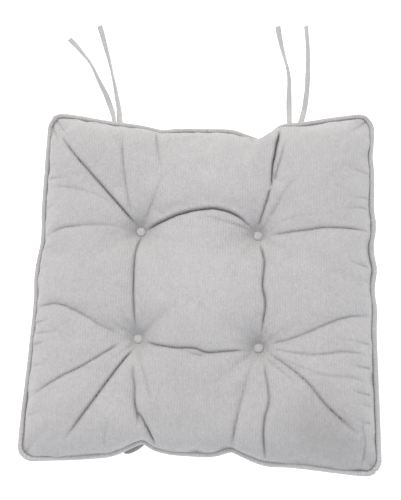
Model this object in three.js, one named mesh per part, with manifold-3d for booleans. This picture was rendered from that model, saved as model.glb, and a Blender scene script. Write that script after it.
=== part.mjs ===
// Square chair seat pad. Two panels of fine-ribbed cloth cover one mass of fibre filling, a piped
// seam runs all round, four covered buttons are tied through the pad, and two pairs of flat cloth
// ties leave the back seam. The filling, covers and piping are soft; their solids are the shape
// of the pad at rest.
//
// Millimetres. +Z up, +Y towards the back of the seat (the tie side), +X to the right as seen from
// the front. The origin is on the surface the pad lies on, under the middle of the pad.

import * as THREE from 'three';
import { mergeVertices } from 'three/addons/utils/BufferGeometryUtils.js';
import Module from 'manifold-3d';

// ---- Driving dimensions ----------------------------------------------------------------------

const PAD_DEPTH = 401; // front to back over the piping, at the corners
const FRONT_WIDTH = 398; // over the piping, at the front corners
const BACK_WIDTH = 380; // over the piping, at the back corners
const CORNER_RADIUS = 18;
const CROWN_HEIGHT = 57; // floor to the top of the pad
const SEAM_HEIGHT = 22; // floor to the middle of the piping
const BACK_WAIST = 16.5; // how far the middle of each edge is drawn in from its corners
const FRONT_WAIST = 12;
const SIDE_WAIST = 2.5;

const CLOTH = 1; // thickness of the cover cloth
const PIPING_DIAMETER = 6.4;
const PIPING_FLANGE = 3.5; // sewn-in width of the piping strip
const PIPING_JOIN = 0.6; // gap where the two ends of the piping meet
const SEAT_GAP = 0.3; // clearance between pieces that touch

const BASE_SHARE = 0.74; // share of the underside, along each radius, that lies flat
const CROWN_POWER = 3.2; // higher is a flatter top with a rounder edge

const BUTTON_DIAMETER = 11.2;
const BUTTON_HEIGHT = 4.2;
const BUTTON_SHELL = 0.5; // wall of the metal shell in a button
const EYE_WIRE_RADIUS = 0.45;
const EYE_HALF_WIDTH = 1.5;
const EYE_LEG = 1.2; // straight part of the wire eye
const TWINE_RADIUS = 0.5;
const TWINE_SPREAD = 1.5; // half the distance between the two legs of a twine
const TWINE_HOLE = 2.6; // radius of the hole that the twine makes in the covers
const BACKING_DIAMETER = 12;
const BACKING_THICKNESS = 2.2;
const KNOT_RADIUS = 1.7;

const TOP_TUFT_HEIGHT = 27; // floor to the cloth under a button
const TOP_TUFT_FLARE = 30; // how far the hollow round a button spreads
const BOTTOM_TUFT_HEIGHT = 7.5; // floor to the cloth over a backing button
const BOTTOM_TUFT_FLARE = 22;

const TIE_WIDTH = 6;
const TIE_THICKNESS = 1.5;

// The four tufts, hand-set and so not quite square to the pad.
const TUFTS = [
  { name: 'left_back', x: -71, y: 58.5 },
  { name: 'right_back', x: 61.5, y: 56 },
  { name: 'left_front', x: -68.5, y: -62.5 },
  { name: 'right_front', x: 65, y: -69 },
];

// Dents where a crease from a tuft reaches the seam. `edge` is the sign of the edge's own axis,
// `at` runs along the edge, and the dent fades over `low` and `high` on either side.
const EDGE_DENTS = [
  { axis: 'y', edge: 1, at: -53, depth: 3.5, low: 9, high: 9 },
  { axis: 'y', edge: 1, at: 63, depth: 15, low: 14, high: 8 },
  { axis: 'y', edge: -1, at: -59, depth: 13, low: 9, high: 9 },
  { axis: 'y', edge: -1, at: 38, depth: 7.5, low: 10, high: 9 },
  { axis: 'x', edge: -1, at: 48, depth: 2.5, low: 18, high: 18 },
];

// Each tie: where it leaves the back seam, and its run from there, as offsets in x and y from the
// outline at that place and heights above the floor. Where a tie turns on its edge it rises. The
// first step of each has no x, which keeps the flat of the tie level.
const TIES = [
  {
    name: 'tie_left_outer',
    exit: -111,
    run: [
      [0, -5.6, 17.6], [0, -1, 17.3], [-1.5, 4.5, 15], [-3.4, 10.5, 10.8], [-6, 17, 6.6],
      [-8.8, 23.5, 3.4], [-12, 31, 1.6], [-16.2, 40.5, 1.2], [-22.5, 52, 1.3], [-28.4, 63.5, 1.8],
      [-33.4, 74, 3.1], [-39.6, 84, 2.6], [-47.6, 94, 1.4], [-57, 104.6, 1.1], [-65.8, 113, 1.1],
    ],
  },
  {
    name: 'tie_left_inner',
    exit: -104,
    run: [
      [0, -5.6, 17.6], [0, -1, 17.2], [-2, 5, 14.2], [-3.4, 11.5, 9.4], [-4.8, 18.5, 5],
      [-6.4, 26, 2.2], [-8.2, 34, 1.2], [-10.6, 44, 1.2], [-13, 54, 1.7], [-15.6, 64, 2.9],
      [-18.6, 75, 3.1], [-22.2, 87, 2.2], [-26.4, 100, 1.3], [-30.6, 114, 1.1], [-36, 131, 1.1],
    ],
  },
  {
    name: 'tie_right_inner',
    exit: 95,
    run: [
      [0, -5.6, 17.6], [0, -1, 17.3], [-0.6, 5, 15], [-1, 11.5, 10.6], [-1.4, 18.5, 6.4],
      [-1.8, 26, 3.2], [-2, 34, 1.6], [-2.2, 44, 1.2], [-2.4, 55, 1.5], [-3, 65, 2.2],
      [-4.8, 76, 3.1], [-7.6, 87, 2.5], [-11, 100, 1.3], [-14, 114, 1.1], [-17, 130, 1.1],
    ],
  },
  {
    name: 'tie_right_outer',
    exit: 106,
    run: [
      [0, -5.6, 17.6], [0, -1, 17.2], [1.8, 5, 14.4], [3.2, 11.5, 9.6], [4.6, 18.5, 5.2],
      [5.8, 26, 2.2], [6.8, 34, 1.2], [7.8, 44, 1.1], [8.4, 55, 1.1], [8.6, 66, 1.1],
      [8.5, 77, 1.3], [8.2, 89, 2], [7.6, 101, 2.8], [6.8, 113, 2.6], [5.7, 127, 2],
    ],
  },
];

// ---- Mesh detail -----------------------------------------------------------------------------

const EDGE_STEPS = { y: 9, x: 5 }; // plain stations along a front or back edge, and along a side
const CORNER_STEPS = 2; // stations in half a corner
const STATION_SPACING = 6; // stations nearer than this are thinned
const TUFT_SIDES = 12;
const TUFT_STEPS = 3;
const ROUND_SIDES = 10;
const WELD = 1e-4;

const MATERIALS = {
  cloth: { color: 0xc6c5c5, roughness: 0.95, metalness: 0 },
  lining: { color: 0xbcbbbc, roughness: 0.95, metalness: 0 },
  fibre: { color: 0xf2f1ee, roughness: 1, metalness: 0 },
  cord: { color: 0xeeece6, roughness: 0.9, metalness: 0 },
  metal: { color: 0xb9babd, roughness: 0.35, metalness: 1 },
  twine: { color: 0xe2e0da, roughness: 0.8, metalness: 0 },
  plastic: { color: 0xdcdcda, roughness: 0.4, metalness: 0 },
};

// ---- Solids ----------------------------------------------------------------------------------

const wasm = await Module();
wasm.setup();

function toSolid(geometry) {
  const bare = geometry.clone();
  bare.deleteAttribute('normal');
  bare.deleteAttribute('uv');
  const merged = mergeVertices(bare, WELD);
  return new wasm.Manifold(new wasm.Mesh({
    numProp: 3,
    vertProperties: new Float32Array(merged.attributes.position.array),
    triVerts: new Uint32Array(merged.index.array),
  }));
}

function toGeometry(solid) {
  const mesh = solid.getMesh();
  const geometry = new THREE.BufferGeometry();
  geometry.setAttribute('position', new THREE.BufferAttribute(mesh.vertProperties, 3));
  geometry.setIndex(new THREE.BufferAttribute(mesh.triVerts, 1));
  geometry.computeVertexNormals();
  return geometry;
}

// A closed body through rings of equal length, widest in the middle, from `bottom` up to `top`.
function loft(bottom, rings, top) {
  const count = rings[0].length;
  const points = [bottom, ...rings.flat(), top];
  const last = points.length - 1;
  const indices = [];
  for (let i = 0; i < count; i++) {
    const next = (i + 1) % count;
    indices.push(0, 1 + i, 1 + next);
    indices.push(last - count + i, last, last - count + next);
    for (let r = 1; r < rings.length; r++) {
      const low = 1 + (r - 1) * count;
      const high = low + count;
      indices.push(low + i, high + i, low + next);
      indices.push(low + next, high + i, high + next);
    }
  }
  const geometry = new THREE.BufferGeometry().setFromPoints(points);
  geometry.setIndex(indices);
  return toSolid(geometry);
}

// A lathe in this file turns about Z: three.js turns its profile about Y.
function turned(profile, sides) {
  const points = profile.map(([r, z]) => new THREE.Vector2(r, z));
  const geometry = new THREE.LatheGeometry(points, sides);
  geometry.rotateX(Math.PI / 2);
  return geometry;
}

// A curve whose steps fall on its own points instead of at even distances.
class StationCurve extends THREE.CatmullRomCurve3 {
  getUtoTmapping(u) {
    return u;
  }
}

function sweep(shape, points) {
  const extrudePath = new StationCurve(points, false, 'centripetal');
  return new THREE.ExtrudeGeometry(shape, { steps: points.length - 1, extrudePath });
}

function circleShape(radius, sides) {
  const points = [];
  for (let i = 0; i < sides; i++) {
    const angle = (2 * Math.PI * (i + 0.5)) / sides;
    points.push(new THREE.Vector2(radius * Math.cos(angle), radius * Math.sin(angle)));
  }
  return new THREE.Shape(points);
}

// ---- Outline of the pad ----------------------------------------------------------------------

const MEAN_HALF_WIDTH = (FRONT_WIDTH + BACK_WIDTH) / 4;

// The outline runs clockwise from above. `u` counts edges: 0 to 1 along the back from left to
// right, then the right side, the front and the left side.
function squarePoint(u) {
  const edge = Math.floor(u) % 4;
  const along = 2 * (u - Math.floor(u)) - 1;
  return [[along, 1], [1, -along], [-along, -1], [-1, along]][edge];
}

function outlinePoint(u) {
  const [a, b] = squarePoint(((u % 4) + 4) % 4);
  const halfDepth = PAD_DEPTH / 2;
  const roundA = CORNER_RADIUS / MEAN_HALF_WIDTH;
  const roundB = CORNER_RADIUS / halfDepth;
  const intoA = Math.max(Math.abs(a) - 1 + roundA, 0) / roundA;
  const intoB = Math.max(Math.abs(b) - 1 + roundB, 0) / roundB;
  let s = a;
  let t = b;
  if (intoA > 0 && intoB > 0) {
    const angle = (Math.PI / 4) * (intoA >= intoB ? intoB : 2 - intoA);
    s = Math.sign(a) * (1 - roundA + roundA * Math.cos(angle));
    t = Math.sign(b) * (1 - roundB + roundB * Math.sin(angle));
  }
  const halfWidth = FRONT_WIDTH / 2 + ((BACK_WIDTH - FRONT_WIDTH) / 2) * ((t + 1) / 2);
  const waistY = (t > 0 ? BACK_WAIST : FRONT_WAIST) * Math.max(1 - s * s, 0) ** 1.5;
  const waistX = SIDE_WAIST * Math.max(1 - t * t, 0) ** 1.5;
  let x = s * halfWidth - Math.sign(s) * waistX;
  let y = t * halfDepth - Math.sign(t) * waistY;
  for (const dent of EDGE_DENTS) {
    const [along, across] = dent.axis === 'y' ? [x, y] : [y, x];
    const onEdge = Math.abs(dent.axis === 'y' ? b : a) === 1 && Math.sign(across) === dent.edge;
    const fade = along < dent.at ? dent.low : dent.high;
    const amount = onEdge ? dent.depth * Math.exp(-0.5 * ((along - dent.at) / fade) ** 2) : 0;
    if (dent.axis === 'y') y -= dent.edge * amount;
    else x -= dent.edge * amount;
  }
  return new THREE.Vector3(x, y, 0);
}

// The outline moved in by `inset`, square to itself.
function insetPoint(u, inset, z) {
  const step = 2e-3;
  const along = outlinePoint(u + step).sub(outlinePoint(u - step)).normalize();
  return outlinePoint(u).add(new THREE.Vector3(along.y * inset, -along.x * inset, z));
}

// Where the outline crosses a given x on the back edge.
function backEdgeAt(x) {
  let low = 0.05;
  let high = 0.95;
  for (let i = 0; i < 40; i++) {
    const middle = (low + high) / 2;
    if (outlinePoint(middle).x < x) low = middle;
    else high = middle;
  }
  return outlinePoint(low);
}

function edgeStations(edge) {
  const axis = edge % 2 === 0 ? 'y' : 'x';
  const halfLength = axis === 'y' ? MEAN_HALF_WIDTH : PAD_DEPTH / 2;
  const straight = halfLength - CORNER_RADIUS;
  const places = [];
  for (let i = 0; i < EDGE_STEPS[axis]; i++) {
    places.push({ at: straight * ((2 * i) / (EDGE_STEPS[axis] - 1) - 1), keep: i === 0 });
  }
  const sign = edge === 0 || edge === 1 ? 1 : -1;
  for (const dent of EDGE_DENTS.filter((d) => d.axis === axis && d.edge === sign)) {
    const offsets = [-1.7 * dent.low, -0.8 * dent.low, 0, 0.8 * dent.high, 1.7 * dent.high];
    offsets.forEach((offset) => places.push({ at: dent.at + offset, keep: offset === 0 }));
  }
  const flip = edge === 1 || edge === 2 ? -1 : 1;
  const sorted = places.map((p) => ({ ...p, at: flip * p.at })).sort((p, q) => p.at - q.at);
  const kept = [];
  for (const place of sorted.filter((p) => Math.abs(p.at) <= straight)) {
    const previous = kept[kept.length - 1];
    const close = previous && place.at - previous.at < STATION_SPACING;
    if (!close) kept.push(place);
    else if (place.keep) kept[kept.length - 1] = place;
  }
  const stations = kept.map((place) => edge + (place.at / halfLength + 1) / 2);
  const nextHalfLength = axis === 'y' ? PAD_DEPTH / 2 : MEAN_HALF_WIDTH;
  for (let i = 1 - CORNER_STEPS; i < CORNER_STEPS; i++) {
    const reach = CORNER_RADIUS / (i < 0 ? halfLength : nextHalfLength) / 2;
    stations.push(edge + 1 + (i / CORNER_STEPS) * reach);
  }
  return stations;
}

const STATIONS = [0, 1, 2, 3].flatMap(edgeStations);

function ring(inset, share, z) {
  return STATIONS.map((u) => insetPoint(u, inset, 0).multiplyScalar(share).setZ(z));
}

// ---- Covers and filling ----------------------------------------------------------------------

const PIPING_RADIUS = PIPING_DIAMETER / 2;
const RIM_INSET = PIPING_DIAMETER + SEAT_GAP;
const TOP_RIM = SEAM_HEIGHT + CLOTH + SEAT_GAP;
const BOTTOM_RIM = SEAM_HEIGHT - CLOTH - SEAT_GAP;
const TOP_SHARES = [1, 0.98, 0.93, 0.84, 0.68, 0.4];
const BOTTOM_SHARES = [1, 0.98, 0.93, 0.85, BASE_SHARE];

function crownRise(share) {
  return (CROWN_HEIGHT - TOP_RIM - CLOTH) * Math.sqrt(1 - share ** CROWN_POWER);
}

function baseDrop(share) {
  const bend = Math.max(share - BASE_SHARE, 0) / (1 - BASE_SHARE);
  return (BOTTOM_RIM - CLOTH) * Math.sqrt(1 - bend * bend);
}

// Surfaces are numbered by how far they lie under the outside of the cloth.
function topRings(depth, shares) {
  return shares.map((f) => ring(RIM_INSET + depth, f, TOP_RIM + CLOTH - depth + crownRise(f)));
}

function bottomRings(depth, shares) {
  return shares.map((f) => ring(RIM_INSET + depth, f, BOTTOM_RIM - CLOTH + depth - baseDrop(f)));
}

function centre(z) {
  return new THREE.Vector3(0, 0, z);
}

function topVolume(depth, floor) {
  const rings = [ring(RIM_INSET + depth, 1, floor), ...topRings(depth, TOP_SHARES)];
  return loft(centre(floor), rings, centre(CROWN_HEIGHT - depth));
}

function bottomVolume(depth, ceiling) {
  const rings = [...bottomRings(depth, BOTTOM_SHARES).reverse(), ring(RIM_INSET + depth, 1, ceiling)];
  return loft(centre(depth), rings, centre(ceiling));
}

// The hollow that a tuft pulls into one face of the pad, `depth` under the outside of the cloth.
function tuftCutter(tuft, depth, tuftHeight, faceHeight, flare) {
  const seat = BUTTON_DIAMETER / 2 + 1;
  const rise = Math.abs(faceHeight - tuftHeight);
  const profile = [[0, -depth], [seat + depth, -depth]];
  for (let i = 1; i <= TUFT_STEPS; i++) {
    const share = Math.sin((Math.PI / 2) * (i / TUFT_STEPS));
    const spread = flare * (1 - Math.sqrt(Math.max(1 - share * share, 0)));
    profile.push([seat + depth + spread, share * rise - depth]);
  }
  profile.push([seat + depth + flare, rise + CLOTH * 5]);
  profile.push([0, rise + CLOTH * 5]);
  const cutter = turned(profile, TUFT_SIDES);
  if (faceHeight < tuftHeight) cutter.rotateX(Math.PI);
  cutter.translate(tuft.x, tuft.y, tuftHeight);
  return toSolid(cutter);
}

function topTuft(tuft, depth) {
  return tuftCutter(tuft, depth, TOP_TUFT_HEIGHT, CROWN_HEIGHT, TOP_TUFT_FLARE);
}

function bottomTuft(tuft, depth) {
  return tuftCutter(tuft, depth, BOTTOM_TUFT_HEIGHT, 0, BOTTOM_TUFT_FLARE);
}

function twineHole(tuft, radius) {
  const bore = new THREE.CylinderGeometry(radius, radius, 2 * CROWN_HEIGHT, ROUND_SIDES);
  bore.rotateX(Math.PI / 2);
  bore.translate(tuft.x, tuft.y, CROWN_HEIGHT / 2);
  return toSolid(bore);
}

function minusEach(solid, cutters) {
  return cutters.reduce((rest, cutter) => rest.subtract(cutter), solid);
}

function topCover() {
  const outside = minusEach(topVolume(0, TOP_RIM), TUFTS.map((t) => topTuft(t, 0)));
  const inside = minusEach(topVolume(CLOTH, TOP_RIM - CLOTH), TUFTS.map((t) => topTuft(t, CLOTH)));
  return minusEach(outside.subtract(inside), TUFTS.map((t) => twineHole(t, TWINE_HOLE)));
}

function bottomCover() {
  const outside = minusEach(bottomVolume(0, BOTTOM_RIM), TUFTS.map((t) => bottomTuft(t, 0)));
  const inner = bottomVolume(CLOTH, BOTTOM_RIM + CLOTH);
  const inside = minusEach(inner, TUFTS.map((t) => bottomTuft(t, CLOTH)));
  return minusEach(outside.subtract(inside), TUFTS.map((t) => twineHole(t, TWINE_HOLE)));
}

// The filling stops short of the seam, where the piping strip lies between the covers.
function fibreFilling() {
  const depth = CLOTH + SEAT_GAP;
  const clearOfFlange = (f) => f < 0.97;
  const lower = bottomRings(depth, BOTTOM_SHARES.filter(clearOfFlange)).reverse();
  const upper = topRings(depth, TOP_SHARES.filter(clearOfFlange));
  const body = loft(centre(depth), [...lower, ...upper], centre(CROWN_HEIGHT - depth));
  const cutters = TUFTS.flatMap((t) => [
    topTuft(t, depth),
    bottomTuft(t, depth),
    twineHole(t, TWINE_HOLE + SEAT_GAP),
  ]);
  return minusEach(body, cutters);
}

// ---- Piping ----------------------------------------------------------------------------------

// The piping starts and ends at the middle of the back edge.
function pipingPath() {
  const joinAt = 0.5;
  const halfJoin = PIPING_JOIN / 2 / BACK_WIDTH;
  const after = STATIONS.filter((u) => u > joinAt + 4 * halfJoin);
  const before = STATIONS.filter((u) => u < joinAt - 4 * halfJoin).map((u) => u + 4);
  const run = [joinAt + halfJoin, ...after, ...before, joinAt + 4 - halfJoin];
  return run.map((u) => insetPoint(u, PIPING_RADIUS, SEAM_HEIGHT));
}

// In a piping section, y points out of the pad and x points down.
function pipingSleeve() {
  const flangeEnd = -PIPING_DIAMETER / 2 - SEAT_GAP - PIPING_FLANGE;
  const sides = 8;
  const outline = [new THREE.Vector2(CLOTH, flangeEnd)];
  const first = Math.asin(CLOTH / PIPING_RADIUS);
  for (let i = 0; i <= sides; i++) {
    const angle = -Math.PI / 2 + first + ((2 * Math.PI - 2 * first) * i) / sides;
    outline.push(new THREE.Vector2(PIPING_RADIUS * Math.cos(angle), PIPING_RADIUS * Math.sin(angle)));
  }
  outline.push(new THREE.Vector2(-CLOTH, flangeEnd));
  const section = new THREE.Shape(outline);
  section.holes.push(circleShape(PIPING_RADIUS - CLOTH, 6));
  return sweep(section, pipingPath());
}

function pipingCord() {
  return sweep(circleShape(PIPING_RADIUS - CLOTH - SEAT_GAP, 6), pipingPath());
}

// ---- Tufts -----------------------------------------------------------------------------------

// Closed profile of a domed cap with an open underside.
function capProfile(radius, height, wall, lip) {
  const outer = [[0, 1], [0.5, 0.94], [0.84, 0.72], [1, 0.4], [0.97, 0.12]];
  const points = outer.map(([r, h]) => [radius * r, height * h]);
  points.push([radius * 0.9, 0]);
  points.push([lip, 0]);
  points.push([lip, wall]);
  const inner = [[0.96, 0.14], [1, 0.4], [0.86, 0.7], [0.5, 0.92]];
  inner.forEach(([r, h]) => points.push([(radius - wall) * r, (height - 2 * wall) * h + wall]));
  points.push([0, height - wall]);
  return points.reverse();
}

const CAP_BASE = TOP_TUFT_HEIGHT + SEAT_GAP;
const CAP_RADIUS = BUTTON_DIAMETER / 2;
const CAP_CLOTH = 0.6; // the cloth is drawn thin over a button
const SHELL_RADIUS = CAP_RADIUS - CAP_CLOTH - SEAT_GAP;
const SHELL_HEIGHT = BUTTON_HEIGHT - 2 * CAP_CLOTH - 2 * SEAT_GAP;
const SHELL_BASE = CAP_BASE + CAP_CLOTH + SEAT_GAP;
const PLATE_THICKNESS = 0.6;
const PLATE_BASE = CAP_BASE;
const PLATE_RADIUS = CAP_RADIUS * 0.7 - SEAT_GAP;
const TWINE_APEX = PLATE_BASE - EYE_LEG;

function buttonCloth() {
  const cloth = turned(capProfile(CAP_RADIUS, BUTTON_HEIGHT, CAP_CLOTH, CAP_RADIUS * 0.7), ROUND_SIDES);
  return cloth.translate(0, 0, CAP_BASE);
}

function buttonShell() {
  const profile = capProfile(SHELL_RADIUS, SHELL_HEIGHT, BUTTON_SHELL, SHELL_RADIUS * 0.75);
  return turned(profile, ROUND_SIDES).translate(0, 0, SHELL_BASE);
}

// The plate that closes a button, with its wire eye below.
function buttonEyePlate() {
  const disc = new THREE.CylinderGeometry(PLATE_RADIUS, PLATE_RADIUS, PLATE_THICKNESS, ROUND_SIDES);
  disc.rotateX(Math.PI / 2);
  disc.translate(0, 0, PLATE_BASE + PLATE_THICKNESS / 2);
  const root = PLATE_BASE + PLATE_THICKNESS / 2;
  const bendAt = PLATE_BASE - EYE_LEG;
  const points = [new THREE.Vector3(-EYE_HALF_WIDTH, 0, root)];
  for (let i = 0; i <= 6; i++) {
    const angle = Math.PI + (Math.PI * i) / 6;
    const x = EYE_HALF_WIDTH * Math.cos(angle);
    points.push(new THREE.Vector3(x, 0, bendAt + EYE_HALF_WIDTH * Math.sin(angle)));
  }
  points.push(new THREE.Vector3(EYE_HALF_WIDTH, 0, root));
  const eye = sweep(circleShape(EYE_WIRE_RADIUS, 6), points);
  return toGeometry(toSolid(disc).add(toSolid(eye)));
}

const BACKING_TOP = BOTTOM_TUFT_HEIGHT - SEAT_GAP;
const BACKING_BASE = BACKING_TOP - BACKING_THICKNESS;
const KNOT_TOP = BACKING_BASE - SEAT_GAP;

// One length of twine, up through the eye and down again, with its knot under the backing button.
function tuftTwine() {
  const kneeAt = TWINE_APEX - TWINE_SPREAD;
  const knotCentre = KNOT_TOP - KNOT_RADIUS;
  const points = [new THREE.Vector3(0, -TWINE_SPREAD, knotCentre)];
  for (let i = 0; i <= 6; i++) {
    const angle = Math.PI - (Math.PI * i) / 6;
    const y = TWINE_SPREAD * Math.cos(angle);
    points.push(new THREE.Vector3(0, y, kneeAt + TWINE_SPREAD * Math.sin(angle)));
  }
  points.push(new THREE.Vector3(0, TWINE_SPREAD, knotCentre));
  const hairpin = sweep(circleShape(TWINE_RADIUS, 6), points);
  const knot = new THREE.SphereGeometry(KNOT_RADIUS, 8, 6);
  knot.rotateX(Math.PI / 2);
  knot.scale(1.1, (TWINE_SPREAD + 2 * TWINE_RADIUS) / KNOT_RADIUS, 1);
  knot.translate(0, 0, knotCentre);
  return toGeometry(toSolid(hairpin).add(toSolid(knot)));
}

function backingButton() {
  const radius = BACKING_DIAMETER / 2;
  const rim = BACKING_THICKNESS * 0.3;
  const profile = [
    [0, 0],
    [radius * 0.55, 0],
    [radius * 0.95, rim * 0.6],
    [radius, rim + 0.4],
    [radius * 0.95, BACKING_THICKNESS],
    [0, BACKING_THICKNESS],
  ];
  const body = toSolid(turned(profile, ROUND_SIDES + 2).translate(0, 0, BACKING_BASE));
  const holes = [-1, 1].map((side) => {
    const radiusOfHole = TWINE_RADIUS + SEAT_GAP + 0.1;
    const hole = new THREE.CylinderGeometry(radiusOfHole, radiusOfHole, 4 * BACKING_THICKNESS, 8);
    hole.rotateX(Math.PI / 2);
    return toSolid(hole.translate(0, side * TWINE_SPREAD, BACKING_BASE));
  });
  return toGeometry(minusEach(body, holes));
}

// ---- Ties ------------------------------------------------------------------------------------

function tie({ exit, run }) {
  const root = backEdgeAt(exit);
  const points = run.map(([dx, dy, z]) => new THREE.Vector3(root.x + dx, root.y + dy, z));
  const w = TIE_WIDTH / 2;
  const h = TIE_THICKNESS / 2;
  const quarter = [[w, h / 2], [w - h, h]];
  const upper = [...quarter, ...quarter.map(([x, y]) => [-x, y]).reverse()];
  const section = [...upper, ...upper.map(([x, y]) => [x, -y]).reverse()];
  return sweep(new THREE.Shape(section.map(([x, y]) => new THREE.Vector2(x, y))), points);
}

// ---- Assembly --------------------------------------------------------------------------------

const pad = new THREE.Group();

function addPiece(name, geometry, material, parent = pad) {
  const mesh = new THREE.Mesh(geometry, new THREE.MeshStandardMaterial(MATERIALS[material]));
  mesh.name = name;
  parent.add(mesh);
}

addPiece('top_cover', toGeometry(topCover()), 'cloth');
addPiece('bottom_cover', toGeometry(bottomCover()), 'lining');
addPiece('fibre_filling', toGeometry(fibreFilling()), 'fibre');
addPiece('piping_sleeve', pipingSleeve(), 'cloth');
addPiece('piping_cord', pipingCord(), 'cord');

for (const tuft of TUFTS) {
  const group = new THREE.Group();
  group.position.set(tuft.x, tuft.y, 0);
  addPiece(`button_cloth_${tuft.name}`, buttonCloth(), 'cloth', group);
  addPiece(`button_shell_${tuft.name}`, buttonShell(), 'metal', group);
  addPiece(`button_eye_plate_${tuft.name}`, buttonEyePlate(), 'metal', group);
  addPiece(`tuft_twine_${tuft.name}`, tuftTwine(), 'twine', group);
  addPiece(`backing_button_${tuft.name}`, backingButton(), 'plastic', group);
  pad.add(group);
}

for (const tieSpec of TIES) addPiece(tieSpec.name, tie(tieSpec), 'cloth');

export default pad;
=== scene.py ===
"""Visual model of a square tufted chair seat pad, built round its CAD frame.

Metres, +Z up, +Y to the back of the seat (the tie side), +X to the right seen from the front.
"""
import math

import bpy
import numpy as np
from mathutils import Matrix, Vector


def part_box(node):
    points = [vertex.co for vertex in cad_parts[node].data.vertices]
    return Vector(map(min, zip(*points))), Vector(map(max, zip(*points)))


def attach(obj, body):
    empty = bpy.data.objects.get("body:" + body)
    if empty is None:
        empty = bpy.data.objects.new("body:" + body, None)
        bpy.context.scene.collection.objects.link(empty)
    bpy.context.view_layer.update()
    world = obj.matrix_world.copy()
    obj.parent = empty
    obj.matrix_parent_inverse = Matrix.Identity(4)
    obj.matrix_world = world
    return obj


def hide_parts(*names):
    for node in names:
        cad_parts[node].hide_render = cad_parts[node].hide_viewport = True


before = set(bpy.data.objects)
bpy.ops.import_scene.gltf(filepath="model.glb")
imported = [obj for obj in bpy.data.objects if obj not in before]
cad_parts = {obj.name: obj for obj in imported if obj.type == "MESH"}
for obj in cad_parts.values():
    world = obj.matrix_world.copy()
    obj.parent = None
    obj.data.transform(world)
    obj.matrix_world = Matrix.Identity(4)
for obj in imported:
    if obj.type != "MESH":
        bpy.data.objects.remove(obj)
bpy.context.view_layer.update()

MM = 0.001
BODY = "root"

# ---- Sizes shared with the CAD design ----

PAD_DEPTH = 401 * MM
FRONT_WIDTH = 398 * MM
BACK_WIDTH = 380 * MM
CORNER_RADIUS = 18 * MM
BACK_WAIST = 16.5 * MM
FRONT_WAIST = 12 * MM
SIDE_WAIST = 2.5 * MM
PIPING_RADIUS = 3.2 * MM
TIE_WIDTH = 6 * MM
SEAT_GAP = 0.3 * MM

SEAM_HEIGHT = sum(corner[2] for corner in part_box("piping_sleeve")) / 2
CROWN_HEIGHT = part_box("top_cover")[1][2]

# Dents where a crease reaches the seam, and swells, which are dents of negative depth: axis
# across the edge, side, place, depth, fade below and above the place, sharpness of its tip.
EDGE_DENTS = [
    (1, 1, -53, 4, 10, 10, 1.5), (1, 1, 63, 15.5, 16, 9, 1.3),
    (1, 1, -165, -2.6, 40, 26, 2), (1, 1, 160, -2, 34, 26, 2),
    (1, -1, -59, 13.5, 11, 11, 1.4), (1, -1, 38, 8.5, 13, 11, 1.3),
    (1, -1, -130, -1.2, 30, 40, 2), (0, -1, 48, 2.5, 18, 18, 2),
    (0, -1, 22, -2.0, 12, 14, 2), (0, -1, -150, -1.2, 40, 30, 2),
    (0, 1, 60, 1.6, 22, 22, 1.6), (0, 1, -20, 1.2, 20, 20, 1.6),
]

# The same for where the stuffed cloth stands a little past that outline or is drawn in from it.
CLOTH_SWELLS = [
    (1, -1, 120, -2.2, 76, 60, 4), (1, -1, 76, -2.6, 13, 14, 2),
    (1, -1, 18, -2, 12, 10, 2), (1, -1, -76, 1.8, 9, 9, 2),
    (1, -1, -50, -1.3, 7, 7, 2), (0, -1, 1, -1.7, 12, 9, 2),
    (0, 1, 68, -2.9, 10, 12, 2.4), (0, 1, 22, -2.6, 10, 9, 2.4),
    (0, 1, -22, -2.2, 13, 9, 2.2), (0, 1, 150, 1.6, 9, 9, 2),
    (1, 1, 84, -3, 8, 10, 2), (1, 1, 30, -1.7, 16, 9, 2),
]

TUFTS = ["left_back", "right_back", "left_front", "right_front"]

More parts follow.
